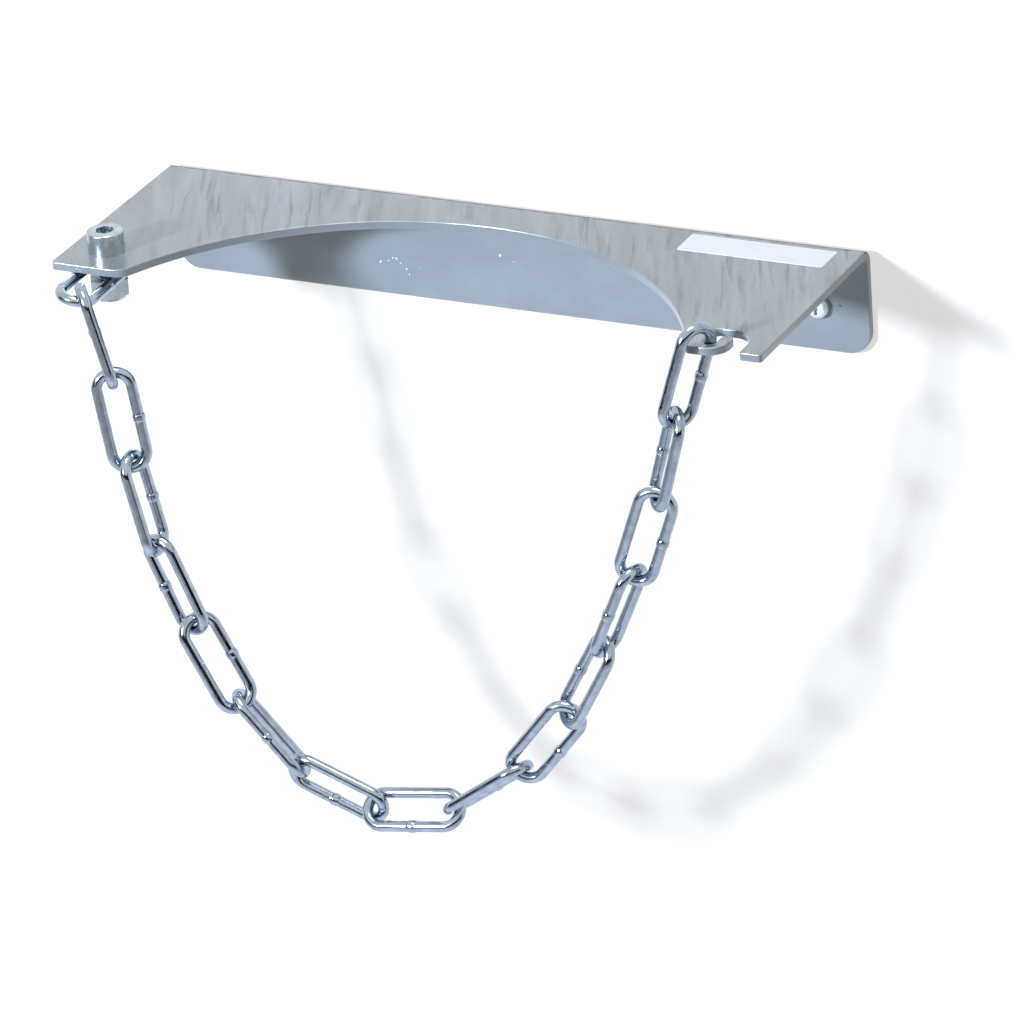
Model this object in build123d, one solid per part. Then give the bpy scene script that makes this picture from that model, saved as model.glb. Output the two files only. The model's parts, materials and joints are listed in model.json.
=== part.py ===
"""Wall bracket for one gas cylinder, with a restraining chain.

One folded steel sheet holds the cylinder in a round cut-out. A long-link chain is held under the
left arm by a cap screw and a lock nut, hangs in front of the cut-out, and is hooked over a neck
in the right arm. Two screws fix the flange to the wall.

Frame: millimetres, X to the right, +Y into the wall, +Z up. The origin is midway between the two
wall fixings, on the back face of the flange (the wall face, y = 0).
"""
from build123d import *
import math
import os

import numpy as np

# ---- folded sheet ----
sheet_thickness = 3.0
arm_width = 28.0
bracket_depth = 95.0
flange_height = 40.0
inner_bend_radius = 2.0
flange_corner_radius = 8.5
arm_corner_radius = 1.6
edge_rounding = 0.4

# ---- seat for the cylinder ----
cylinder_diameter = 229.0
seat_clearance = 0.5
seat_web = 22.0
seat_corner_radius = 6.5

# ---- wall fixings ----
fixing_side_inset = 19.0
fixing_drop = 23.0
fixing_screw_diameter = 4.5
fixing_hole_clearance = 0.5
fixing_screw_length = 40.0
fixing_neck_diameter = 3.4
fixing_neck_spare = 0.6
fixing_tip_diameter = 0.6
fixing_head_diameter = 8.6
fixing_head_height = 3.2
fixing_recess_width = 5.0
fixing_recess_slot = 1.2
fixing_recess_depth = 1.9

# ---- chain: round steel wire, long links ----
wire_diameter = 4.0
link_pitch = 32.3
link_inner_width = 8.2
weld_diameter = 4.7
weld_length = 2.8
weld_chamfer = 0.35
seat_gap = 0.25
open_seat_gap = 0.5

# ---- hook in the right arm ----
hook_side_inset = 21.4
hook_front_inset = 5.7
pocket_clearance = 1.0
nose_width = 4.6
nose_reach = 11.5
nose_corner_radius = 7.5
slot_width = 5.0
mouth_width = 6.1
slot_left_radius = 3.0
slot_right_radius = 8.5
neck_corner_radius = 2.0
tip_corner_radius = 1.2

# ---- chain screw and lock nut ----
screw_side_inset = 14.5
screw_front_inset = 14.5
screw_diameter = 7.8
screw_length = 18.0
screw_head_diameter = 13.0
screw_head_height = 8.0
screw_head_rounding = 0.6
socket_width = 6.0
socket_depth = 4.0
screw_hole_clearance = 0.5
nut_width = 13.0
nut_height = 8.0
nut_collar_height = 1.6
nut_collar_diameter = 11.4
nut_chamfer = 0.8
nut_play = 2.5
insert_height = 1.7
insert_diameter = 10.0
thread_gap = 0.05

# ---- how the chain hangs ----
first_link_turn = -1.5
first_link_reach = 11.5
first_link_gap = 0.1
first_hang_angle = 48.0
last_link_lean = 17.3
last_link_turn = 30.5
last_link_twist = 28.0
last_link_offset = (-2.75, -4.8, 0.6)
chain_trims = 3
bow_samples = 61
first_leg_samples = 16
leg_samples = 3
bearing_halvings = 9
# Slope of links 2 to 15 above the horizontal, walked from the screw to the hook.
link_slopes = (-77, -83, -79, -69, -64, -50, -23, 8, 36, 52, 62, 67, 71, 75)
# Turn of links 2 to 15 about their own length, from square to the plane that the chain hangs in.
link_twists = (33, -64, -2, 70, -45, 18, 76, -50, 17, 77, -46, 16, 82, -36)
# Side of each link that carries the weld, links 1 to 16.
weld_sides = (1, 1, 1, 1, 1, 1, -1, 1, -1, 1, 1, 1, -1, 1, 1, 1)

# ---- worked out from the values above ----
top_z = fixing_drop
underside_z = top_z - sheet_thickness
front_y = -bracket_depth
outer_bend_radius = inner_bend_radius + sheet_thickness
seat_radius = cylinder_diameter / 2 + seat_clearance
seat_centre_y = -(seat_web + seat_radius)
seat_x = math.sqrt(seat_radius**2 - (front_y - seat_centre_y) ** 2)
right_x = seat_x + arm_width
fixing_spacing = 2 * (right_x - fixing_side_inset)
wire_radius = wire_diameter / 2
bow_radius = (link_inner_width + wire_diameter) / 2
half_leg = (link_pitch - link_inner_width) / 2
screw_x = -right_x + screw_side_inset
screw_y = front_y + screw_front_inset
nut_top_z = underside_z - wire_diameter - nut_play
pocket_width = wire_diameter + pocket_clearance
pocket_x = right_x - hook_side_inset
pocket_y = front_y + hook_front_inset
neck_x = pocket_x - pocket_width / 2
nose_left_x = pocket_x + pocket_width / 2
nose_right_x = nose_left_x + nose_width
nose_top_y = front_y + nose_reach
slot_rear_y = nose_top_y + slot_width
tip_x = nose_right_x + mouth_width


def unit(vector):
    """A vector of length one."""
    return vector / np.linalg.norm(vector)


def box_between(x_low, x_high, y_low, y_high):
    """A flat rectangle between two corners."""
    centre = Pos((x_low + x_high) / 2, (y_low + y_high) / 2)
    return centre * Rectangle(x_high - x_low, y_high - y_low)


def corners_near(sketch, x, y, reach=0.01):
    """The corners of a flat shape at one place."""
    return [v for v in sketch.vertices() if abs(v.X - x) < reach and abs(v.Y - y) < reach]


def hook_finger():
    """The neck, the pocket and the nose that stay when the hook's slot is cut."""
    finger = box_between(neck_x, nose_right_x, front_y, pocket_y)
    finger += box_between(nose_left_x, nose_right_x, pocket_y, nose_top_y - nose_width / 2)
    finger = fillet(corners_near(finger, nose_right_x, front_y), nose_corner_radius)
    finger += Pos(nose_left_x + nose_width / 2, nose_top_y - nose_width / 2) * Circle(nose_width / 2)
    return finger - Pos(pocket_x, pocket_y) * Circle(pocket_width / 2)


def hook_slot():
    """The opening of the hook, from its mouth in the front edge to the pocket."""
    slot = box_between(neck_x, tip_x, front_y, slot_rear_y)
    slot = fillet(corners_near(slot, neck_x, slot_rear_y), slot_left_radius)
    slot = fillet(corners_near(slot, tip_x, slot_rear_y), slot_right_radius)
    return slot - hook_finger()


def arm_outline():
    """The flat top plate, from above: arms, seat for the cylinder and hook."""
    plate = box_between(-right_x, right_x, front_y, -outer_bend_radius)
    plate -= Pos(0, seat_centre_y) * Circle(seat_radius)
    plate = fillet(corners_near(plate, -right_x, front_y), arm_corner_radius)
    plate = fillet(corners_near(plate, -seat_x, front_y), seat_corner_radius)
    plate = fillet(corners_near(plate, seat_x, front_y), neck_corner_radius)
    plate -= hook_slot()
    tip_corners = corners_near(plate, tip_x, front_y) + corners_near(plate, right_x, front_y)
    return fillet(tip_corners, tip_corner_radius)


def make_bracket():
    """The folded sheet: top plate, bend and wall flange in one piece."""
    plate = Pos(0, 0, underside_z) * extrude(arm_outline(), sheet_thickness)
    bend_centre = (-right_x, -outer_bend_radius, top_z - outer_bend_radius)
    bend_plane = Plane(origin=bend_centre, x_dir=(0, 1, 0), z_dir=(1, 0, 0))
    ring = Circle(outer_bend_radius) - Circle(inner_bend_radius)
    quarter = ring & box_between(0, outer_bend_radius, 0, outer_bend_radius)
    bend = extrude(bend_plane * quarter, 2 * right_x)
    flange_bottom = top_z - flange_height
    flange_top = top_z - outer_bend_radius
    face = box_between(-right_x, right_x, flange_bottom, flange_top)
    low_corners = corners_near(face, -right_x, flange_bottom) + corners_near(face, right_x, flange_bottom)
    face = fillet(low_corners, flange_corner_radius)
    hole = Circle(fixing_screw_diameter / 2 + fixing_hole_clearance)
    for side in (-1, 1):
        face -= Pos(side * fixing_spacing / 2, 0) * hole
    flange = extrude(Plane.XZ * face, sheet_thickness)
    screw_hole = Cylinder((screw_diameter + screw_hole_clearance) / 2, 4 * sheet_thickness)
    return plate + bend + flange - Pos(screw_x, screw_y, top_z) * screw_hole


def round_rims(bracket):
    """Break the outline edges of the sheet, as its paint does."""
    rims = bracket.edges().filter_by(Plane.XY)
    rims = rims.filter_by(lambda e: e.center().Y < -outer_bend_radius - edge_rounding)
    rims = rims.filter_by(lambda e: e.center().Z > underside_z - edge_rounding)
    screw_spot = (screw_x, screw_y)
    rims = rims.filter_by(lambda e: math.dist((e.center().X, e.center().Y), screw_spot) > screw_diameter)
    return fillet(rims, edge_rounding)


def link_shape(weld_side):
    """One welded link, centred, as long along Z as the chain runs, with its legs apart in X."""
    section = Plane.XY * Pos(bow_radius, 0) * Circle(wire_radius)
    bow = revolve(section, Axis.Y, -180)
    leg = Cylinder(wire_radius, 2 * half_leg)
    weld = Cylinder(weld_diameter / 2, weld_length)
    weld = chamfer(weld.edges().filter_by(GeomType.CIRCLE), weld_chamfer)
    link = Pos(0, 0, half_leg) * bow
    link += Rot(0, 180, 0) * Pos(0, 0, half_leg) * bow
    for side in (-1, 1):
        link += Pos(side * bow_radius, 0, 0) * leg
    return link + Pos(weld_side * bow_radius, 0, 0) * weld


# ---- how the links hang on each other ----
class LinkPose:
    """Where a link lies: its centre, the way along it and the way across its legs."""

    def __init__(self, centre, along, across):
        self.centre = centre
        self.along = unit(along)
        self.across = unit(across - np.dot(across, self.along) * self.along)

    def wire_at(self, angle=0.0, end=1.0):
        """A point on the wire's centre line at one end, turned from its crown towards a leg."""
        turn = math.radians(angle)
        crown = half_leg * self.along + bow_radius * math.cos(turn) * self.along
        return self.centre + end * crown + bow_radius * math.sin(turn) * self.across

    def bow_points(self, end=1.0, leg_points=leg_samples):
        """Points on the centre line of the bow at one end and a little of the legs."""
        turns = np.linspace(-math.pi / 2, math.pi / 2, bow_samples)
        crown = end * (half_leg + bow_radius * np.cos(turns))
        points = self.centre + np.outer(crown, self.along) + np.outer(bow_radius * np.sin(turns), self.across)
        legs = [
            self.centre + end * (half_leg - back) * self.along + side * bow_radius * self.across
            for back in range(1, leg_points + 1)
            for side in (-1, 1)
        ]
        return np.vstack([points, legs])

    def frame(self):
        """The plane in which the centred link shape is placed."""
        return Plane(origin=tuple(self.centre), x_dir=tuple(self.across), z_dir=tuple(self.along))


def wire_distance(first, second):
    """The shortest distance between two rows of points."""
    apart = first[:, None, :] - second[None, :, :]
    return math.sqrt((apart * apart).sum(-1).min())


def hang_link(held_points, hang_point, pull, along, across, gap, slides=True, leg_points=leg_samples):
    """Pull a link away until its bow bears on the wire that holds it, and find its place.

    A bow that slides also moves sideways on the wire to where the pull carries it furthest.
    """
    loose = LinkPose(hang_point + (half_leg + bow_radius - wire_diameter) * along, along, across)
    bow = loose.bow_points(end=-1.0, leg_points=leg_points)
    sideways = unit(np.cross(pull, loose.across))
    upright = np.cross(pull, sideways)

    def reach(shift):
        moved = bow + shift[0] * sideways + shift[1] * upright
        free = bow_radius / 4
        while wire_distance(held_points, moved + free * pull) < wire_diameter + gap:
            free -= wire_diameter / 12
            if free < -bow_radius:
                return free
        blocked = free + wire_diameter / 12
        for _ in range(bearing_halvings):
            middle = (free + blocked) / 2
            if wire_distance(held_points, moved + middle * pull) < wire_diameter + gap:
                blocked = middle
            else:
                free = middle
        return free

    shift = np.zeros(2)
    best = reach(shift)
    step = wire_diameter / 4 if slides else 0.0
    while step > wire_diameter / 80:
        for turn in ((step, 0.0), (-step, 0.0), (0.0, step), (0.0, -step)):
            trial = reach(shift + turn)
            if trial > best + 0.001:
                best = trial
                shift = shift + turn
                break
        else:
            step /= 2
    moved = loose.centre + shift[0] * sideways + shift[1] * upright + best * pull
    return LinkPose(moved, along, across)


def first_link():
    """The link on the chain screw, tilted between the plate and the lock nut."""
    turn = math.radians(first_link_turn)
    along = np.array([-math.sin(turn), -math.cos(turn), 0.0])
    side = np.array([math.cos(turn), -math.sin(turn), 0.0])
    roll = math.asin((nut_play - 2 * first_link_gap) / (2 * bow_radius))
    across = math.cos(roll) * side - math.sin(roll) * np.array([0.0, 0.0, 1.0])
    middle_z = (underside_z + nut_top_z) / 2
    return LinkPose(np.array([screw_x, screw_y, middle_z]) + first_link_reach * along, along, across)


def last_link():
    """The link on the hook: one leg in the pocket, the other in front of the neck."""
    lean = math.radians(last_link_lean)
    turn = math.radians(last_link_turn)
    twist = math.radians(last_link_twist)
    out = np.array([math.cos(turn), math.sin(turn), 0.0])
    up = np.array([0.0, 0.0, 1.0])
    along = math.sin(lean) * out + math.cos(lean) * up
    level = unit(np.cross(up, out))
    across = math.cos(twist) * unit(out - np.dot(out, along) * along) + math.sin(twist) * level
    bow_middle = np.array([pocket_x, pocket_y, top_z]) + np.array(last_link_offset)
    return LinkPose(bow_middle - half_leg * along, along, across)


def hanging_chain():
    """The places of all the links, each one bearing on the link before it."""
    first = first_link()
    last = last_link()
    start = first.wire_at(first_hang_angle)
    finish = last.wire_at(0.0, end=-1.0)
    run = finish - start
    yaw = math.atan2(run[1], run[0])
    left_trim = 0.0
    right_trim = 0.0
    half = len(link_slopes) // 2
    for _ in range(chain_trims):
        ahead = np.array([math.cos(yaw), math.sin(yaw), 0.0])
        level = np.array([-math.sin(yaw), math.cos(yaw), 0.0])
        up = np.array([0.0, 0.0, 1.0])
        slopes = [s + (left_trim if i < half else right_trim) for i, s in enumerate(link_slopes)]
        alongs = [math.cos(math.radians(s)) * ahead + math.sin(math.radians(s)) * up for s in slopes]
        poses = [first]
        hang_point = start
        for i, along in enumerate(alongs):
            twist = math.radians(link_twists[i])
            across = math.cos(twist) * level + math.sin(twist) * np.cross(level, along)
            before = alongs[i - 1] if i else along
            gap = seat_gap if i else open_seat_gap
            pull = unit(before + along)
            reach = leg_samples if i else first_leg_samples
            held_points = poses[-1].bow_points(leg_points=reach)
            pose = hang_link(held_points, hang_point, pull, along, across, gap, i > 0, reach)
            poses.append(pose)
            hang_point = pose.wire_at()
        pull = unit(alongs[-1] + last.along)
        held_points = poses[-1].bow_points()
        reached = hang_link(held_points, hang_point, pull, last.along, last.across, open_seat_gap)
        miss = last.centre - reached.centre
        # How far the end of the chain moves for a small change of each half and of the yaw.
        left = sum(math.sin(math.radians(s)) for s in slopes[:half])
        left_rise = sum(math.cos(math.radians(s)) for s in slopes[:half])
        right = sum(math.sin(math.radians(s)) for s in slopes[half:])
        right_rise = sum(math.cos(math.radians(s)) for s in slopes[half:])
        moves = link_pitch * np.array([[-left, -right], [left_rise, right_rise]])
        wanted = np.array([np.dot(miss, ahead), miss[2]])
        trims = np.degrees(np.linalg.solve(moves, wanted))
        left_trim += float(trims[0])
        right_trim += float(trims[1])
        yaw += float(np.dot(miss, level)) / float(np.linalg.norm(run[:2]))
    poses.append(last)
    return poses


# ---- solids ----
def make_screw():
    """The cap screw that holds the chain, with its hexagon socket."""
    head = Cylinder(screw_head_diameter / 2, screw_head_height)
    head = Pos(screw_x, screw_y, top_z + screw_head_height / 2) * head
    head = fillet(head.edges().filter_by(GeomType.CIRCLE).sort_by(Axis.Z)[-1:], screw_head_rounding)
    shank_middle = top_z - screw_length / 2
    shank = Pos(screw_x, screw_y, shank_middle) * Cylinder(screw_diameter / 2, screw_length)
    shank = chamfer(shank.edges().filter_by(GeomType.CIRCLE).sort_by(Axis.Z)[:1], nut_chamfer)
    socket_floor = top_z + screw_head_height - socket_depth
    socket_outline = RegularPolygon(socket_width / 2, 6, major_radius=False)
    socket = Pos(screw_x, screw_y, socket_floor) * extrude(socket_outline, 2 * socket_depth)
    return head + shank - socket


def make_nut():
    """The lock nut: a hexagon with a round collar below that holds the plastic ring."""
    hexagon = RegularPolygon(nut_width / 2, 6, major_radius=False)
    hexagon_height = nut_height - nut_collar_height
    body = extrude(hexagon, -hexagon_height)
    corner_radius = nut_width / math.sqrt(3)
    rounding = Pos(0, 0, -hexagon_height / 2) * Cylinder(corner_radius, hexagon_height)
    rounding = chamfer(rounding.edges().filter_by(GeomType.CIRCLE), nut_chamfer / 2, nut_chamfer)
    body = body & rounding
    collar = Pos(0, 0, -nut_height / 2) * Cylinder(nut_collar_diameter / 2, nut_height)
    collar = fillet(collar.edges().filter_by(GeomType.CIRCLE).sort_by(Axis.Z)[:1], nut_collar_height / 2)
    body = body + collar
    body -= Cylinder(screw_diameter / 2 + thread_gap, 3 * nut_height)
    body -= Pos(0, 0, -nut_height + insert_height / 2) * Cylinder(insert_diameter / 2, insert_height)
    return Pos(screw_x, screw_y, nut_top_z) * body


def make_insert():
    """The plastic ring in the lower end of the lock nut."""
    ring = Cylinder(insert_diameter / 2 - thread_gap, insert_height - thread_gap)
    ring -= Cylinder(screw_diameter / 2 + thread_gap, 2 * insert_height)
    middle_z = nut_top_z - nut_height + (insert_height - thread_gap) / 2
    return Pos(screw_x, screw_y, middle_z) * ring


def make_wall_screw(side):
    """A pan-head screw with a cross recess: its plain neck is in the flange, its thread in the wall."""
    head_plane = Plane(origin=(side * fixing_spacing / 2, -sheet_thickness, 0), z_dir=(0, -1, 0))
    head = Pos(0, 0, fixing_head_height / 2) * Cylinder(fixing_head_diameter / 2, fixing_head_height)
    head = fillet(head.edges().filter_by(GeomType.CIRCLE).sort_by(Axis.Z)[-1:], fixing_head_height / 2)
    recess = Box(fixing_recess_width, fixing_recess_slot, 2 * fixing_recess_depth)
    recess += Box(fixing_recess_slot, fixing_recess_width, 2 * fixing_recess_depth)
    head -= Pos(0, 0, fixing_head_height) * recess
    neck_length = sheet_thickness + fixing_neck_spare
    neck = Pos(0, 0, -neck_length / 2) * Cylinder(fixing_neck_diameter / 2, neck_length)
    tip_length = fixing_screw_diameter
    tip_start = fixing_screw_length - tip_length
    thread = Cylinder(fixing_screw_diameter / 2, tip_start - neck_length)
    thread = Pos(0, 0, -(neck_length + tip_start) / 2) * thread
    tip = Cone(fixing_tip_diameter / 2, fixing_screw_diameter / 2, tip_length)
    return head_plane * (head + neck + thread + Pos(0, 0, -tip_start - tip_length / 2) * tip)


os.makedirs("parts", exist_ok=True)
export_step(round_rims(make_bracket()), "parts/bracket.step")
export_step(make_screw(), "parts/chain_screw.step")
export_step(make_nut(), "parts/lock_nut.step")
export_step(make_insert(), "parts/nut_insert.step")
export_step(make_wall_screw(-1), "parts/wall_screw_left.step")
export_step(make_wall_screw(1), "parts/wall_screw_right.step")
for number, pose in enumerate(hanging_chain(), start=1):
    link = pose.frame() * link_shape(weld_sides[number - 1])
    export_step(link, f"parts/link_{number:02d}.step")
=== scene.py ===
"""Looks and stage for a wall bracket for one gas cylinder, with its restraining chain.

The bracket is folded sheet steel in silver paint. Its chain is long-link chain with butt welds,
zinc plated, held by a zinc-plated cap screw and lock nut. Everything is in metres, in the frame
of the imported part: X to the right, +Y into the wall, +Z up.
"""
import json
import math

import bmesh
import bpy
import numpy as np
from mathutils import Matrix, Vector


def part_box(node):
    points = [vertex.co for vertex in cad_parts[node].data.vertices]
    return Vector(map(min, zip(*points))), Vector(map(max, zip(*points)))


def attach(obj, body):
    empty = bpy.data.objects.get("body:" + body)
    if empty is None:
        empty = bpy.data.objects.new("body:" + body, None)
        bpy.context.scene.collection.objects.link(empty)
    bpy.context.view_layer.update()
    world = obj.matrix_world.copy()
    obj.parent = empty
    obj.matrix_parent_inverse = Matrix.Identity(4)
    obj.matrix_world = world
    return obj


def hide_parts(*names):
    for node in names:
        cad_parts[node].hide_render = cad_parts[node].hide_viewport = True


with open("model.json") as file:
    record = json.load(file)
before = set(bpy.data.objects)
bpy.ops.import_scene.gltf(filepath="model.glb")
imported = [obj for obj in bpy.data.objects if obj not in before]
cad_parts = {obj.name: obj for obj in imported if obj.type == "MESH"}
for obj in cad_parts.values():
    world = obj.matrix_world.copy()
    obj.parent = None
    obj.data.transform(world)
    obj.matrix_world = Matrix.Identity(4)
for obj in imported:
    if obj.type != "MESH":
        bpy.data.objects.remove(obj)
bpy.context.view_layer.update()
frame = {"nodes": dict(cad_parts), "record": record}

bl_info = {
    "name": "Gas Cylinder Bracket",
    "version": (1, 0, 0),
    "blender": (4, 5, 0),
    "location": "View3D > Sidebar > Bracket",
    "description": "Dresses a packed gas cylinder bracket and its chain, and sets up its stage",
    "category": "Object",
}

MM = 0.001


# ---- small helpers ----
def hex_to_linear(code):
    """An sRGB colour such as A9ADB2 as linear RGBA."""
    channels = [int(code[i:i + 2], 16) / 255 for i in (0, 2, 4)]
    linear = [c / 12.92 if c <= 0.04045 else ((c + 0.055) / 1.055) ** 2.4 for c in channels]
    return (*linear, 1.0)


def add_node(tree, kind, links=None, **settings):
    """Adds a node. Settings are attributes, or inputs by name; links feed inputs."""
    node = tree.nodes.new(kind)
    for key, value in settings.items():
        if hasattr(node, key):
            setattr(node, key, value)
        else:
            node.inputs[key].default_value = value
    for key, socket in (links or {}).items():
        tree.links.new(socket, node.inputs[key])
    return node


def new_material(name):
    """A material with one Principled shader, and its node tree and shader."""
    material = bpy.data.materials.new(name)
    material.use_nodes = True
    tree = material.node_tree
    tree.nodes.clear()
    shader = tree.nodes.new("ShaderNodeBsdfPrincipled")
    output = tree.nodes.new("ShaderNodeOutputMaterial")
    tree.links.new(shader.outputs["BSDF"], output.inputs["Surface"])
    return material, tree, shader


def stretched_noise(tree, coordinates, scale, turn=0.0, **settings):
    """Noise whose grain differs along X, Y and Z and is turned about Z.

    The scale is in features per metre.
    """
    turned = add_node(tree, "ShaderNodeMapping", {"Vector": coordinates},
                      Rotation=(0.0, 0.0, -turn))
    mapping = add_node(tree, "ShaderNodeMapping", {"Vector": turned.outputs["Vector"]},
                       Scale=scale)
    noise = add_node(tree, "ShaderNodeTexNoise", {"Vector": mapping.outputs["Vector"]},
                     Scale=1.0, **settings)
    return noise.outputs["Fac"]


def remap(tree, value, low, high, new_low=0.0, new_high=1.0):
    """A clamped linear remap of one value."""
    node = add_node(tree, "ShaderNodeMapRange", {"Value": value})
    for key, number in (("From Min", low), ("From Max", high),
                        ("To Min", new_low), ("To Max", new_high)):
        node.inputs[key].default_value = number
    return node.outputs["Result"]


def calculate(tree, operation, first, second):
    """One Math node on sockets or numbers."""
    node = tree.nodes.new("ShaderNodeMath")
    node.operation = operation
    for socket, value in zip(node.inputs, (first, second)):
        if isinstance(value, (int, float)):
            socket.default_value = value
        else:
            tree.links.new(value, socket)
    return node.outputs["Value"]


def blend_colours(tree, factor, first, second):
    """A colour mix by a socket. Each colour is a socket or linear RGBA."""
    first_colour, second_colour, colour_result = 6, 7, 2
    node = add_node(tree, "ShaderNodeMix", {"Factor": factor}, data_type="RGBA")
    for index, value in ((first_colour, first), (second_colour, second)):
        if isinstance(value, tuple):
            node.inputs[index].default_value = value
        else:
            tree.links.new(value, node.inputs[index])
    return node.outputs[colour_result]


def set_only_material(thing, material):
    """Gives an object one material on all its faces."""
    thing.data.materials.clear()
    thing.data.materials.append(material)


def thicken(shape, outline, way):
    """Closes an outline of vertices with a face and draws it out into a thin solid."""
    face = shape.faces.new(outline)
    drawn = bmesh.ops.extrude_face_region(shape, geom=[face])
    moved = [v for v in drawn["geom"] if isinstance(v, bmesh.types.BMVert)]
    bmesh.ops.translate(shape, verts=moved, vec=way)


def mesh_object(name, build):
    """A new object at the origin, whose mesh is filled by a function of a BMesh."""
    shape = bmesh.new()
    build(shape)
    bmesh.ops.recalc_face_normals(shape, faces=shape.faces)
    mesh = bpy.data.meshes.new(name)
    shape.to_mesh(mesh)
    shape.free()
    thing = bpy.data.objects.new(name, mesh)
    bpy.context.scene.collection.objects.link(thing)
    return thing


# ---- what a user may change ----
def length_value(name, description, default):
    """A length in metres."""
    return bpy.props.FloatProperty(
        name=name, description=description, default=default, unit="LENGTH")


def angle_value(name, description, degrees):
    """An angle, written in degrees."""
    return bpy.props.FloatProperty(
        name=name, description=description, default=math.radians(degrees), subtype="ANGLE")


def plain_value(name, description, default):
    """A number without a unit of its own."""
    return bpy.props.FloatProperty(name=name, description=description, default=default)


def place_value(name, description, default):
    """Two or three lengths in metres."""
    return bpy.props.FloatVectorProperty(
        name=name, description=description, subtype="XYZ", size=len(default), default=default,
        unit="LENGTH")


def colour_value(name, description, code):
    """A colour, written as sRGB hex and kept as linear RGBA."""
    return bpy.props.FloatVectorProperty(
        name=name, description=description, subtype="COLOR", size=4,
        default=hex_to_linear(code), min=0.0, max=1.0)


class BracketLooks(bpy.types.PropertyGroup):
    """Paint of the folded sheet and the bare label on it."""
    paint: colour_value("Paint", "Silver paint of the sheet", "8F9698")
    smudge: colour_value("Smudge", "Dark streaks rubbed into the top of the plate", "67696B")
    label_size: place_value("Label Size", "Width and height of the bare label", (0.0548, 0.0141))
    label_middle: place_value("Label Middle", "Middle of the label on the plate",
                              (0.0987, -0.0141))
    label_thickness: length_value("Label Thickness", "Thickness of the film", 0.00008)
    nick_size: length_value("Nick Size", "Typical size of a paint nick", 0.0009)


class ChainLooks(bpy.types.PropertyGroup):
    """Sizes and finish of the welded links."""
    wire_diameter: length_value("Wire Diameter", "Diameter of the link's wire", 0.004)
    pitch: length_value("Pitch", "Inner length of a link", 0.0323)
    inner_width: length_value("Inner Width", "Inner width of a link", 0.0082)
    weld_diameter: length_value("Weld Diameter", "Diameter of the upset at the butt weld", 0.00462)
    weld_length: length_value("Weld Length", "Length of the upset at the butt weld", 0.0026)
    zinc: colour_value("Zinc", "Colour of the bright zinc", "AFBBC8")


class StageLooks(bpy.types.PropertyGroup):
    """Camera, lamps, wall and floor."""
    azimuth: angle_value("Azimuth", "Camera's turn round the part from straight in front", 26.71)
    elevation: angle_value("Elevation", "Camera's height angle", 25.15)
    roll: angle_value("Roll", "Camera's tilt about its own line of sight", -3.93)
    lens: plain_value("Lens", "Focal length in mm", 265.63)
    distance: length_value("Distance", "From the camera to its target", 2.6115)
    target: place_value("Target", "Point the camera looks at", (0.03226, -0.08342, -0.05496))
    key_throw: bpy.props.FloatVectorProperty(
        name="Key Throw", description="Way the key light falls", subtype="XYZ", size=3,
        default=(0.051, 0.105, -0.037))
    key_size: length_value("Key Size", "Side of the key light", 0.25)
    key_distance: length_value("Key Distance", "From the key light to the part", 2.2)
    key_power: plain_value("Key Power", "Power of the key light in watts", 26.0)
    key_spread: angle_value(
        "Key Spread", "Full angle of the key light's beam, as a honeycomb grid leaves it", 80)
    key_colour: colour_value("Key Colour", "Colour of the key light", "D9E6FF")
    overhead_place: place_value("Overhead Place", "Place of the lamp overhead", (0.10, -0.25, 1.70))
    overhead_size: length_value("Overhead Size", "Side of the lamp overhead", 0.8)
    overhead_power: plain_value("Overhead Power", "Power of the lamp overhead in watts", 15.3)
    overhead_colour: colour_value("Overhead Colour", "Colour of the lamp overhead", "FFF4E4")
    room_colour: colour_value("Room Colour", "Colour of the light from all round", "D8E2F4")
    room_strength: plain_value("Room Strength", "Light from all round", 0.08)
    wall_glow: plain_value("Wall Glow", "Share of the wall's white of its own", 0.665)
    wall_colour: colour_value("Wall", "Colour of the wall", "87837E")
    floor_glow: plain_value("Floor Glow", "Share of the floor's white of its own", 0.42)
    floor_colour: colour_value("Floor", "Colour of the floor", "CCCCD0")
    floor_drop: length_value("Floor Drop", "From the fixings down to the floor", 0.62)


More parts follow.
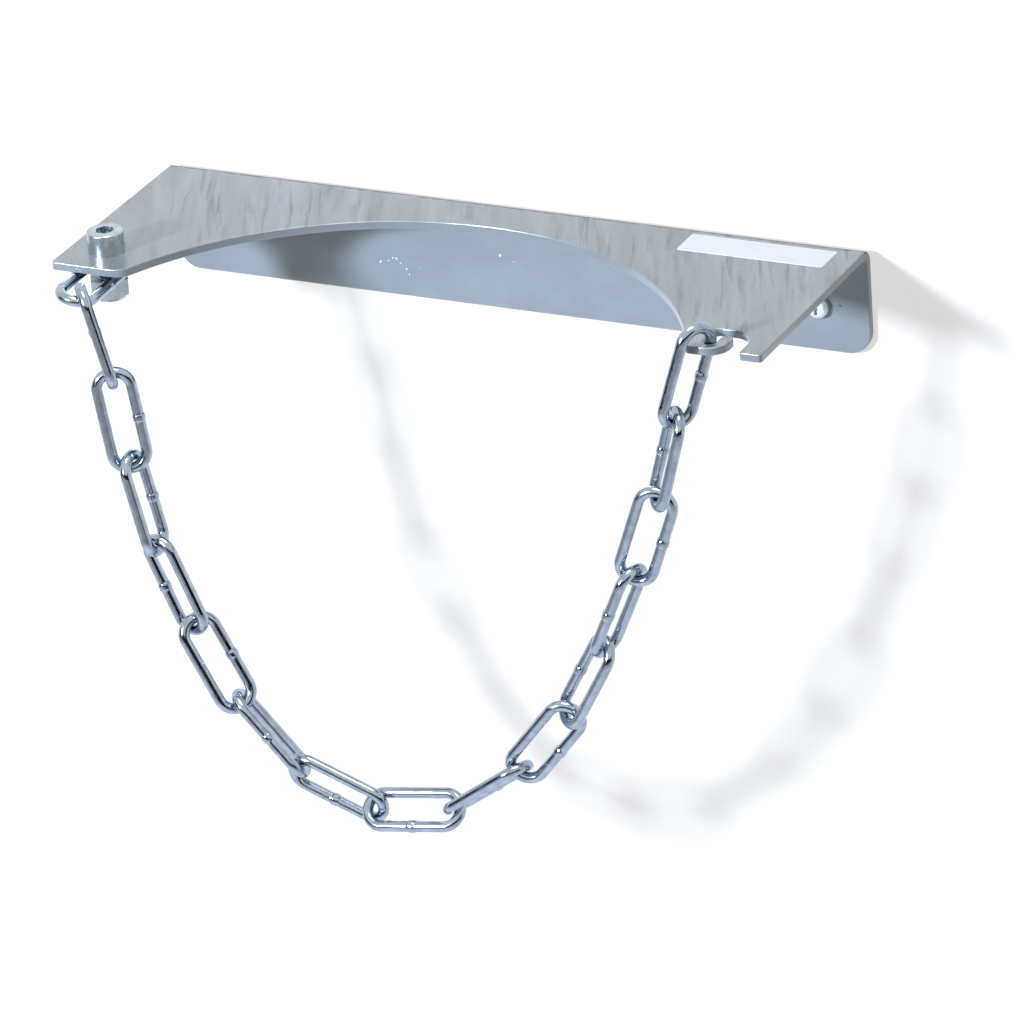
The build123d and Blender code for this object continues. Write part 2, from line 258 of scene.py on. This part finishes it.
# ---- materials ----
def silver_paint(looks):
    """Silver stove enamel on sheet steel: fine aluminium flake under a clear, smooth coat.

    The flake gives a soft, broad sheen and the coat a sharp weak mirror. Rubbed, dark streaks lie
    on the top of the plate and lean as they run from front to back.
    """
    material, tree, shader = new_material("Silver stove enamel")
    where = add_node(tree, "ShaderNodeTexCoord").outputs["Object"]
    place = add_node(tree, "ShaderNodeSeparateXYZ", {"Vector": where}).outputs
    lean = math.radians(24)
    top_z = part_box("bracket")[1].z
    on_top = remap(tree, place["Z"], top_z - 0.6 * MM, top_z - 0.1 * MM)
    # streaks about 3 mm wide and 40 mm long, in patches about 30 to 50 mm across, on the top only
    streaks = stretched_noise(tree, where, (330.0, 26.0, 60.0), lean,
                              Detail=5.0, Roughness=0.6, Distortion=0.5)
    patches = stretched_noise(tree, where, (34.0, 20.0, 30.0), lean, Detail=2.0, Roughness=0.5)
    streaky = calculate(tree, "MULTIPLY", remap(tree, streaks, 0.50, 0.72),
                        remap(tree, patches, 0.36, 0.62))
    rubbed = calculate(tree, "MULTIPLY", streaky, on_top)
    # painted shade: a thin ragged dark line where the bend leaves the top, in place of the shadow in the
    # gap between the bend and the wall, up to 2.2 mm out of true
    jagged = stretched_noise(tree, where, (260.0,) * 3, Detail=3.0)
    ragged = calculate(tree, "MULTIPLY", jagged, 2.2 * MM)
    bend_edge = calculate(tree, "SUBTRACT", place["Y"], ragged)
    painted_bend_shadow = calculate(tree, "MULTIPLY", remap(tree, bend_edge, -6.3 * MM, -5.9 * MM),
                      remap(tree, place["Z"], top_z - 1.2 * MM, top_z - 0.9 * MM))
    painted_bend_shadow = calculate(tree, "MULTIPLY", painted_bend_shadow, remap(tree, place["Y"], -0.9 * MM, -1.6 * MM))
    # long soft bands, clouds about 40 mm across, and flake drawn at 0.4 mm so that it shows
    bands = stretched_noise(tree, where, (95.0, 11.0, 40.0), lean, Detail=4.0, Roughness=0.6)
    cloud = stretched_noise(tree, where, (26.0, 22.0, 40.0), Detail=3.0, Roughness=0.55)
    flake = stretched_noise(tree, where, (2400.0,) * 3, Detail=1.0)
    band = calculate(tree, "MULTIPLY", remap(tree, bands, 0.3, 0.7, -0.24, 0.20), on_top)
    tone = calculate(tree, "ADD", remap(tree, cloud, 0.3, 0.7, 0.93, 1.05), band)
    shade = calculate(tree, "MULTIPLY", tone, remap(tree, flake, 0.3, 0.7, 0.96, 1.04))
    base = add_node(tree, "ShaderNodeVectorMath", operation="SCALE")
    base.inputs[0].default_value = looks.paint[:3]
    tree.links.new(shade, base.inputs["Scale"])
    colour = blend_colours(tree, rubbed, base.outputs["Vector"], tuple(looks.smudge))
    # painted shade: the dark line along the bend is blended into the paint's colour
    colour = blend_colours(tree, painted_bend_shadow, colour, hex_to_linear("3A3A38"))
    tree.links.new(colour, shader.inputs["Base Color"])
    # the paint under the coat is rougher where it is rubbed
    roughness = calculate(tree, "ADD", remap(tree, cloud, 0.3, 0.7, 0.28, 0.34),
                          calculate(tree, "MULTIPLY", rubbed, 0.2))
    tree.links.new(roughness, shader.inputs["Roughness"])
    shader.inputs["Metallic"].default_value = 0.6
    shader.inputs["Coat Weight"].default_value = 0.5
    shader.inputs["Coat Roughness"].default_value = 0.06
    # orange peel of the enamel, about 2 mm across and a micrometre or so deep
    peel = stretched_noise(tree, where, (480.0,) * 3, Detail=2.0)
    bump = add_node(tree, "ShaderNodeBump", {"Height": peel}, Strength=0.05, Distance=0.02 * MM)
    tree.links.new(bump.outputs["Normal"], shader.inputs["Normal"])
    return material


def bright_zinc(name, colour, roughness, thread=None):
    """Electroplated bright zinc, passivated blue: a near mirror, clouded and slightly uneven.

    A thread, given as its axis point, pitch and upper end, is drawn as a helical bump.
    """
    material, tree, shader = new_material(name)
    where = add_node(tree, "ShaderNodeTexCoord").outputs["Object"]
    # clouds about 4 mm across and pits about 0.7 mm across
    cloud = stretched_noise(tree, where, (260.0,) * 3, Detail=4.0, Roughness=0.6)
    pits = stretched_noise(tree, where, (1500.0,) * 3, Detail=2.0, Roughness=0.5)
    deeper = tuple(share * 0.72 for share in tuple(colour)[:3]) + (1.0,)
    tint = blend_colours(tree, remap(tree, cloud, 0.35, 0.65), tuple(colour), deeper)
    tree.links.new(tint, shader.inputs["Base Color"])
    shader.inputs["Metallic"].default_value = 1.0
    uneven = remap(tree, cloud, 0.3, 0.7, roughness, roughness + 0.1)
    tree.links.new(uneven, shader.inputs["Roughness"])
    height = calculate(tree, "ADD", calculate(tree, "MULTIPLY", pits, 0.35), cloud)
    bump = add_node(tree, "ShaderNodeBump", {"Height": height}, Strength=0.5, Distance=0.06 * MM)
    if thread:
        grooves = thread_grooves(tree, where, *thread)
        bump = add_node(tree, "ShaderNodeBump",
                        {"Height": grooves, "Normal": bump.outputs["Normal"]},
                        Strength=0.9, Distance=0.6 * MM)
    tree.links.new(bump.outputs["Normal"], shader.inputs["Normal"])
    return material


def thread_grooves(tree, where, axis_x, axis_y, pitch, upper_z):
    """The height of a thread about an upright axis: 0 in the grooves, 1 on the crests."""
    parts = add_node(tree, "ShaderNodeSeparateXYZ", {"Vector": where}).outputs
    turn = calculate(tree, "ARCTAN2", calculate(tree, "SUBTRACT", parts["Y"], axis_y),
                     calculate(tree, "SUBTRACT", parts["X"], axis_x))
    rise = calculate(tree, "DIVIDE", parts["Z"], pitch)
    phase = calculate(tree, "ADD", calculate(tree, "DIVIDE", turn, 2 * math.pi), rise)
    ridge = calculate(tree, "MULTIPLY", calculate(tree, "PINGPONG", phase, 0.5), 2.0)
    return calculate(tree, "MULTIPLY", ridge, calculate(tree, "LESS_THAN", parts["Z"], upper_z))


def mottled(name, code, other_code, scale, roughness, detail=2.0):
    """A plain material that wavers between two sRGB colours, and its shader."""
    material, tree, shader = new_material(name)
    where = add_node(tree, "ShaderNodeTexCoord").outputs["Object"]
    cloud = stretched_noise(tree, where, (scale,) * 3, Detail=detail)
    tint = blend_colours(tree, cloud, hex_to_linear(code), hex_to_linear(other_code))
    tree.links.new(tint, shader.inputs["Base Color"])
    shader.inputs["Roughness"].default_value = roughness
    return material, shader


def nylon():
    """Moulded natural nylon of the lock nut's ring: milky and slightly waxy."""
    material, shader = mottled("Moulded nylon", "DADCDB", "C6CACB", 500.0, 0.45)
    shader.inputs["Subsurface Weight"].default_value = 0.1
    shader.inputs["Subsurface Radius"].default_value = (MM, MM, MM)
    return material


def label_film():
    """White vinyl film: smooth and a little glossy."""
    material, _ = mottled("White vinyl film", "E6E8EA", "DCDFE2", 90.0, 0.28)
    return material


def flat_tint(name, code, roughness):
    """Bare primer or dust in a paint nick: matt, with a slight change of tone."""
    material, tree, shader = new_material(name)
    where = add_node(tree, "ShaderNodeTexCoord").outputs["Object"]
    cloud = stretched_noise(tree, where, (1800.0,) * 3, Detail=1.0)
    darker = tuple(c * 0.85 for c in hex_to_linear(code)[:3]) + (1.0,)
    tint = blend_colours(tree, cloud, hex_to_linear(code), darker)
    tree.links.new(tint, shader.inputs["Base Color"])
    shader.inputs["Roughness"].default_value = roughness
    return material


# ---- chain ----
def link_place(node_name):
    """Where a link lies: a matrix whose Y runs along the link and whose +X leg carries the weld.

    The weld swells outwards, so the two bows alone give the link's middle and its plane.
    """
    to_bows, weld_reach = 12.5 * MM, 1.4 * MM
    vertices = np.array([v.co for v in frame["nodes"][node_name].data.vertices], float)
    middle = (vertices.min(0) + vertices.max(0)) / 2
    ends = vertices
    for _ in range(4):
        spread = np.cov((ends - ends.mean(0)).T)
        along, across = np.linalg.eigh(spread)[1].T[[2, 1]]
        away = (vertices - middle) @ along
        middle = middle + along * (away.max() + away.min()) / 2
        away = (vertices - middle) @ along
        ends = vertices[np.abs(away) > to_bows]
        sideways = (ends - middle) @ across
        normal = np.cross(along, across)
        level = (ends - middle) @ normal
        middle = middle + across * (sideways.max() + sideways.min()) / 2
        middle = middle + normal * (level.max() + level.min()) / 2
    waist = vertices[np.abs((vertices - middle) @ along) < weld_reach]
    sideways = (waist - middle) @ across
    if sideways.max() + sideways.min() < 0:
        across = -across
    columns = np.column_stack([across, along, np.cross(across, along), middle])
    return Matrix([*columns.tolist(), [0.0, 0.0, 0.0, 1.0]])


def link_tree():
    """Geometry nodes for one welded link: a stretched circle of wire, thicker at its butt weld."""
    corners_of_ring, corners_of_wire = 96, 28
    tree = bpy.data.node_groups.new("Welded link", "GeometryNodeTree")
    tree.interface.new_socket("Geometry", in_out="OUTPUT", socket_type="NodeSocketGeometry")
    for name in ("Wire Diameter", "Pitch", "Inner Width", "Weld Diameter", "Weld Length", "Seed"):
        tree.interface.new_socket(name, in_out="INPUT", socket_type="NodeSocketFloat")
    tree.interface.new_socket("Material", in_out="INPUT", socket_type="NodeSocketMaterial")
    given = tree.nodes.new("NodeGroupInput").outputs
    wire_radius = calculate(tree, "MULTIPLY", given["Wire Diameter"], 0.5)
    bow_width = calculate(tree, "ADD", given["Inner Width"], given["Wire Diameter"])
    leg = calculate(tree, "SUBTRACT", given["Pitch"], given["Inner Width"])
    half_leg = calculate(tree, "MULTIPLY", leg, 0.5)
    ring = add_node(tree, "GeometryNodeCurvePrimitiveCircle",
                    {"Radius": calculate(tree, "MULTIPLY", bow_width, 0.5)}, Resolution=corners_of_ring)
    turned = add_node(tree, "GeometryNodeTransform", {"Geometry": ring.outputs["Curve"]},
                      Rotation=(0.0, 0.0, math.pi / corners_of_ring))
    place = add_node(tree, "GeometryNodeInputPosition").outputs["Position"]
    parts = add_node(tree, "ShaderNodeSeparateXYZ", {"Vector": place}).outputs
    side = calculate(tree, "SIGN", parts["Y"], 0.0)
    stretch = add_node(tree, "ShaderNodeCombineXYZ",
                       {"Y": calculate(tree, "MULTIPLY", side, half_leg)})
    oval = add_node(tree, "GeometryNodeSetPosition",
                    {"Geometry": turned.outputs["Geometry"], "Offset": stretch.outputs["Vector"]})
    fine = add_node(tree, "GeometryNodeResampleCurve", {"Curve": oval.outputs["Geometry"]},
                    mode="LENGTH")
    fine.inputs["Length"].default_value = 0.4 * MM
    # the upset: a smooth collar on the leg at +X, its edge ragged by up to a quarter of a mm
    to_weld = calculate(tree, "ABSOLUTE", parts["Y"], 0.0)
    half_weld = calculate(tree, "MULTIPLY", given["Weld Length"], 0.5)
    grain = add_node(tree, "ShaderNodeTexNoise", {"Vector": place, "W": given["Seed"]},
                     noise_dimensions="4D", Scale=900.0, Detail=2.0)
    ragged = calculate(tree, "MULTIPLY",
                       calculate(tree, "SUBTRACT", grain.outputs["Fac"], 0.5), 0.5 * MM)
    closeness = calculate(tree, "SUBTRACT", calculate(tree, "ADD", half_weld, ragged), to_weld)
    collar = add_node(tree, "ShaderNodeMapRange", {"Value": closeness},
                      interpolation_type="SMOOTHSTEP")
    collar.inputs["From Min"].default_value = -0.15 * MM
    collar.inputs["From Max"].default_value = 0.45 * MM
    on_leg = calculate(tree, "GREATER_THAN", parts["X"], 0.0)
    swell = calculate(tree, "MULTIPLY", collar.outputs["Result"], on_leg)
    ratio = calculate(tree, "DIVIDE", given["Weld Diameter"], given["Wire Diameter"])
    growth = calculate(tree, "SUBTRACT", ratio, 1.0)
    thickness = calculate(tree, "ADD", calculate(tree, "MULTIPLY", swell, growth), 1.0)
    section = add_node(tree, "GeometryNodeCurvePrimitiveCircle", {"Radius": wire_radius},
                       Resolution=corners_of_wire)
    tube = add_node(tree, "GeometryNodeCurveToMesh",
                    {"Curve": fine.outputs["Curve"], "Profile Curve": section.outputs["Curve"],
                     "Scale": thickness})
    # spatter and hammer marks of the weld, about 0.5 mm across
    marks = add_node(tree, "ShaderNodeTexNoise", {"Vector": place, "W": given["Seed"]},
                     noise_dimensions="4D", Scale=1900.0, Detail=1.0)
    depth = calculate(tree, "MULTIPLY",
                      calculate(tree, "SUBTRACT", marks.outputs["Fac"], 0.55), 0.28 * MM)
    normal = add_node(tree, "GeometryNodeInputNormal").outputs["Normal"]
    push = add_node(tree, "ShaderNodeVectorMath",
                    {0: normal, "Scale": calculate(tree, "MULTIPLY", depth, swell)}, operation="SCALE")
    rough = add_node(tree, "GeometryNodeSetPosition",
                     {"Geometry": tube.outputs["Mesh"], "Offset": push.outputs["Vector"]})
    smooth = add_node(tree, "GeometryNodeSetShadeSmooth", {"Geometry": rough.outputs["Geometry"]})
    real = add_node(tree, "GeometryNodeRealizeInstances", {"Geometry": smooth.outputs["Geometry"]})
    plated = add_node(tree, "GeometryNodeSetMaterial",
                      {"Geometry": real.outputs["Geometry"], "Material": given["Material"]})
    output = tree.nodes.new("NodeGroupOutput")
    tree.links.new(plated.outputs["Geometry"], output.inputs["Geometry"])
    return tree


def grow_link(tree, node_name, seed, looks, material):
    """One link as a plain mesh, laid where its solid lies."""
    carrier = bpy.data.objects.new("link_maker", bpy.data.meshes.new("link_maker"))
    bpy.context.scene.collection.objects.link(carrier)
    modifier = carrier.modifiers.new("Welded link", "NODES")
    modifier.node_group = tree
    values = {"Wire Diameter": looks.wire_diameter, "Pitch": looks.pitch,
              "Inner Width": looks.inner_width, "Weld Diameter": looks.weld_diameter,
              "Weld Length": looks.weld_length, "Seed": seed, "Material": material}
    for item in tree.interface.items_tree:
        if item.in_out == "INPUT" and item.name in values:
            modifier[item.identifier] = values[item.name]
    graph = bpy.context.evaluated_depsgraph_get()
    mesh = bpy.data.meshes.new_from_object(carrier.evaluated_get(graph), depsgraph=graph)
    bpy.data.objects.remove(carrier)
    shape = bmesh.new()
    shape.from_mesh(mesh)
    bmesh.ops.recalc_face_normals(shape, faces=shape.faces)
    shape.to_mesh(mesh)
    shape.free()
    mesh.transform(link_place(node_name))
    mesh.name = "welded_" + node_name
    thing = bpy.data.objects.new("welded_" + node_name, mesh)
    bpy.context.scene.collection.objects.link(thing)
    return thing


def body_of_node(node_name):
    """The name of the body that a node rides on."""
    bodies = frame["record"]["behaviour"]["bodies"]
    return next(body for body, nodes in bodies.items() if node_name in nodes)


# ---- operators ----
class PaintBracket(bpy.types.Operator):
    """Paints the folded sheet"""
    bl_idname = "bracket.paint_sheet"
    bl_label = "Paint Sheet"

    def execute(self, context):
        set_only_material(frame["nodes"]["bracket"], silver_paint(context.scene.bracket_looks))
        return {"FINISHED"}


class AddLabel(bpy.types.Operator):
    """Lays a bare label with rounded corners on the plate"""
    bl_idname = "bracket.add_label"
    bl_label = "Add Label"

    def execute(self, context):
        looks = context.scene.bracket_looks
        width, depth = looks.label_size
        middle_x, middle_y = looks.label_middle
        top_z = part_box("bracket")[1].z
        corner = 0.8 * MM

        def build(shape):
            outline = []
            for quarter in range(4):
                sign_x = 1 if quarter in (0, 3) else -1
                sign_y = 1 if quarter in (0, 1) else -1
                for step in range(7):
                    turn = math.radians(90 * quarter + 15 * step)
                    x = middle_x + sign_x * (width / 2 - corner) + corner * math.cos(turn)
                    y = middle_y + sign_y * (depth / 2 - corner) + corner * math.sin(turn)
                    outline.append(shape.verts.new((x, y, top_z)))
            thicken(shape, outline, (0, 0, looks.label_thickness))

        label = mesh_object("bare_label", build)
        set_only_material(label, label_film())
        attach(label, "bracket")
        return {"FINISHED"}


class AddNicks(bpy.types.Operator):
    """Scatters the few paint nicks on the flange"""
    bl_idname = "bracket.add_nicks"
    bl_label = "Add Paint Nicks"

    # middle across and up in mm, size against the usual one, and lean in degrees
    pale_nicks = ((-53.6, -5.0, 1.1, 60), (-50.4, -4.2, 0.7, 20), (-48.6, -2.9, 0.8, 80),
                  (-47.2, -3.0, 1.0, 110), (-45.6, -4.6, 0.7, 40), (-43.4, -6.6, 0.9, 70),
                  (-42.4, -8.6, 0.7, 95), (-6.0, 3.4, 1.3, 55), (-0.7, 1.6, 0.7, 10),
                  (-38.2, -5.4, 0.4, 0), (96.2, -6.4, 0.5, 30))
    dark_nicks = ((124.1, 0.8, 1.4, 5), (123.6, 2.4, 0.6, 90))

    def execute(self, context):
        size = context.scene.bracket_looks.nick_size
        sheet_thickness, film, corners, slimness = 3.0 * MM, 0.02 * MM, 9, 0.45

        def build_from(nicks):
            def build(shape):
                for middle_x, middle_z, share, lean in nicks:
                    ring = []
                    tilt = math.radians(lean)
                    for step in range(corners):
                        turn = 2 * math.pi * step / corners
                        reach = size / 2 * share * (1.0 + 0.3 * math.sin(3 * turn + middle_x))
                        along, across = reach * math.cos(turn), slimness * reach * math.sin(turn)
                        x = middle_x * MM + along * math.cos(tilt) - across * math.sin(tilt)
                        z = middle_z * MM + along * math.sin(tilt) + across * math.cos(tilt)
                        ring.append(shape.verts.new((x, -sheet_thickness - film, z)))
                    thicken(shape, ring, (0, film, 0))
            return build

        for name, nicks, code in (("pale_nicks", self.pale_nicks, "E8ECF2"),
                                  ("dark_nicks", self.dark_nicks, "34373C")):
            thing = mesh_object(name, build_from(nicks))
            tint = flat_tint(name.replace("_", " ").capitalize(), code, 0.6)
            set_only_material(thing, tint)
            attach(thing, "bracket")
        return {"FINISHED"}


class PlateFasteners(bpy.types.Operator):
    """Gives the cap screw, lock nut, ring and wall screws their finishes"""
    bl_idname = "bracket.plate_fasteners"
    bl_label = "Plate Fasteners"

    def execute(self, context):
        colour = hex_to_linear("C2CCCF")
        low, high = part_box("chain_screw")
        axis_x, axis_y = (low.x + high.x) / 2, (low.y + high.y) / 2
        plate_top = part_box("bracket")[1].z
        thread_pitch = 1.25 * MM
        screw = bright_zinc("Zinc plated screw", colour, 0.2,
                            (axis_x, axis_y, thread_pitch, plate_top))
        set_only_material(frame["nodes"]["chain_screw"], screw)
        set_only_material(frame["nodes"]["lock_nut"], bright_zinc("Zinc plated nut", colour, 0.24))
        set_only_material(frame["nodes"]["nut_insert"], nylon())
        steel = bright_zinc("Zinc plated wall screw", hex_to_linear("DCE4E2"), 0.42)
        for side in ("left", "right"):
            set_only_material(frame["nodes"]["wall_screw_" + side], steel)
        return {"FINISHED"}


class WeldChain(bpy.types.Operator):
    """Makes each link of the chain with its butt weld, in place of its plain solid"""
    bl_idname = "bracket.weld_chain"
    bl_label = "Weld Chain"

    def execute(self, context):
        looks = context.scene.chain_looks
        seed_step = 7.31
        tree = link_tree()
        material = bright_zinc("Bright zinc chain", looks.zinc, 0.09)
        names = sorted(name for name in frame["nodes"] if name.startswith("link_"))
        for number, name in enumerate(names, start=1):
            link = grow_link(tree, name, seed_step * number, looks, material)
            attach(link, body_of_node(name))
            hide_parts(name)
        return {"FINISHED"}


class SetStage(bpy.types.Operator):
    """Sets the wall, the floor, the lamps and the camera"""
    bl_idname = "bracket.set_stage"
    bl_label = "Set Stage"

    def execute(self, context):
        looks = context.scene.stage_looks
        backdrops(looks)
        cards()
        lamps(looks)
        camera(looks)
        return {"FINISHED"}


# ---- stage ----
def panel(name, corners, material):
    """A flat four-cornered panel of the stage."""
    mesh = bpy.data.meshes.new(name)
    mesh.from_pydata(corners, [], [(0, 1, 2, 3)])
    thing = bpy.data.objects.new(name, mesh)
    bpy.context.scene.collection.objects.link(thing)
    thing.data.materials.append(material)
    return thing


def background_rays(tree):
    """1 for the rays that see the background: the camera's, and those in metal and glass."""
    path = add_node(tree, "ShaderNodeLightPath")
    seen = calculate(tree, "MAXIMUM", path.outputs["Is Camera Ray"], path.outputs["Is Glossy Ray"])
    return calculate(tree, "MAXIMUM", seen, path.outputs["Is Transmission Ray"])


def paper_white(name, colour, glow):
    """Matt white paint or paper that shows white of its own to the eye and in reflections.

    Its back and all other rays pass it, so that it neither hides the part from behind nor
    takes light from it.
    """
    material = bpy.data.materials.new(name)
    material.use_nodes = True
    tree = material.node_tree
    tree.nodes.clear()
    diffuse = add_node(tree, "ShaderNodeBsdfDiffuse", Color=tuple(colour))
    light = add_node(tree, "ShaderNodeEmission", Color=(1.0, 1.0, 1.0, 1.0), Strength=glow)
    both = tree.nodes.new("ShaderNodeAddShader")
    tree.links.new(diffuse.outputs["BSDF"], both.inputs[0])
    tree.links.new(light.outputs["Emission"], both.inputs[1])
    rear = add_node(tree, "ShaderNodeNewGeometry").outputs["Backfacing"]
    front = calculate(tree, "SUBTRACT", 1.0, rear)
    clear = tree.nodes.new("ShaderNodeBsdfTransparent")
    mix = add_node(tree, "ShaderNodeMixShader",
                   {0: calculate(tree, "MULTIPLY", background_rays(tree), front), 1: clear.outputs["BSDF"],
                    2: both.outputs["Shader"]})
    output = tree.nodes.new("ShaderNodeOutputMaterial")
    tree.links.new(mix.outputs["Shader"], output.inputs["Surface"])
    return material


def backdrops(looks):
    """A white wall behind the flange and a pale floor well below the chain."""
    wall = paper_white("White wall paint", looks.wall_colour, looks.wall_glow)
    floor = paper_white("Pale floor", looks.floor_colour, looks.floor_glow)
    reach, drop, behind = 3.0, -looks.floor_drop, 0.3 * MM
    panel("wall", [(-reach, behind, drop), (reach, behind, drop), (reach, behind, reach),
                   (-reach, behind, reach)], wall)
    panel("floor", [(-reach, -reach, drop), (reach, -reach, drop), (reach, reach, drop),
                    (-reach, reach, drop)], floor)


def cards():
    """Dark cards in front and at the sides, out of the camera's sight, that shape the metal."""
    material, shader = mottled("Dark card", "1B2130", "39435C", 1.1, 1.0, detail=1.0)
    shader.inputs["Specular IOR Level"].default_value = 0.0
    near, far, low, high, side = -0.9, -3.6, -0.6, 0.9, 3.0
    front = [(side, far, low), (-side, far, low), (-side, far, high), (side, far, high)]
    left = [(-side, far, low), (-side, near, low), (-side, near, high), (-side, far, high)]
    right = [(side, near, low), (side, far, low), (side, far, high), (side, near, high)]
    for name, corners in (("front_card", front), ("left_card", left), ("right_card", right)):
        panel(name, corners, material).visible_camera = False


def area_lamp(name, place, aim, size, power, colour, spread=math.pi):
    """A square soft lamp that points at a place, its colour linear."""
    data = bpy.data.lights.new(name, "AREA")
    data.shape = "SQUARE"
    data.size = size
    data.energy = power
    data.color = tuple(colour)[:3]
    data.spread = spread
    lamp = bpy.data.objects.new(name, data)
    bpy.context.scene.collection.objects.link(lamp)
    lamp.location = place
    lamp.rotation_mode = "QUATERNION"
    lamp.rotation_quaternion = (Vector(aim) - Vector(place)).to_track_quat("-Z", "Y")
    return lamp


def lamps(looks):
    """A key from the upper left in front, a soft lamp overhead, and a dim room."""
    aim = Vector((0.0, -0.08, -0.06))
    throw = Vector(looks.key_throw).normalized()
    area_lamp("key", aim - throw * looks.key_distance, aim, looks.key_size, looks.key_power,
              looks.key_colour, looks.key_spread)
    area_lamp("overhead", Vector(looks.overhead_place), aim, looks.overhead_size,
              looks.overhead_power, looks.overhead_colour)
    world = bpy.data.worlds.new("Studio")
    bpy.context.scene.world = world
    world.use_nodes = True
    tree = world.node_tree
    tree.nodes.clear()
    room = add_node(tree, "ShaderNodeBackground", Color=tuple(looks.room_colour),
                    Strength=looks.room_strength)
    white = add_node(tree, "ShaderNodeBackground", Color=(1.0, 1.0, 1.0, 1.0), Strength=1.0)
    mix = add_node(tree, "ShaderNodeMixShader",
                   {0: background_rays(tree), 1: room.outputs["Background"],
                    2: white.outputs["Background"]})
    add_node(tree, "ShaderNodeOutputWorld", {"Surface": mix.outputs["Shader"]})


def camera(looks):
    """The camera, placed by its angles round its target."""
    turn, lift = looks.azimuth, looks.elevation
    back = Vector((math.sin(turn) * math.cos(lift), -math.cos(turn) * math.cos(lift),
                   math.sin(lift)))
    level_right = Vector((math.cos(turn), math.sin(turn), 0.0))
    level_up = back.cross(level_right)
    tilt = Matrix.Rotation(looks.roll, 3, back)
    right, up = tilt @ level_right, tilt @ level_up
    data = bpy.data.cameras.new("Camera")
    data.lens = looks.lens
    data.sensor_width = 36.0
    data.clip_end = 30.0
    thing = bpy.data.objects.new("Camera", data)
    bpy.context.scene.collection.objects.link(thing)
    place = Vector(looks.target) + back * looks.distance
    rows = [[right[i], up[i], back[i], place[i]] for i in range(3)]
    thing.matrix_world = Matrix([*rows, [0.0, 0.0, 0.0, 1.0]])
    bpy.context.scene.camera = thing
    bpy.context.scene.view_settings.view_transform = "Standard"


class BracketPanel(bpy.types.Panel):
    """Lists the steps and the values that they use"""
    bl_idname = "VIEW3D_PT_bracket"
    bl_label = "Gas Cylinder Bracket"
    bl_space_type = "VIEW_3D"
    bl_region_type = "UI"
    bl_category = "Bracket"

    def draw(self, context):
        layout = self.layout
        for step in STEPS:
            layout.operator(step.bl_idname)
        for holder, _ in GROUPS:
            group = getattr(context.scene, holder)
            box = layout.box()
            for name in group.__annotations__:
                box.prop(group, name)


STEPS = (PaintBracket, AddLabel, AddNicks, PlateFasteners, WeldChain, SetStage)
GROUPS = (("bracket_looks", BracketLooks), ("chain_looks", ChainLooks), ("stage_looks", StageLooks))


def register():
    for _, group in GROUPS:
        bpy.utils.register_class(group)
    for name, group in GROUPS:
        setattr(bpy.types.Scene, name, bpy.props.PointerProperty(type=group))
    for step in (*STEPS, BracketPanel):
        bpy.utils.register_class(step)


def unregister():
    for step in reversed((*STEPS, BracketPanel)):
        bpy.utils.unregister_class(step)
    for name, group in GROUPS:
        delattr(bpy.types.Scene, name)
        bpy.utils.unregister_class(group)


def main():
    """Runs every step in order."""
    register()
    for step in STEPS:
        family, name = step.bl_idname.split(".")
        getattr(getattr(bpy.ops, family), name)()


if __name__ == "__main__":
    main()
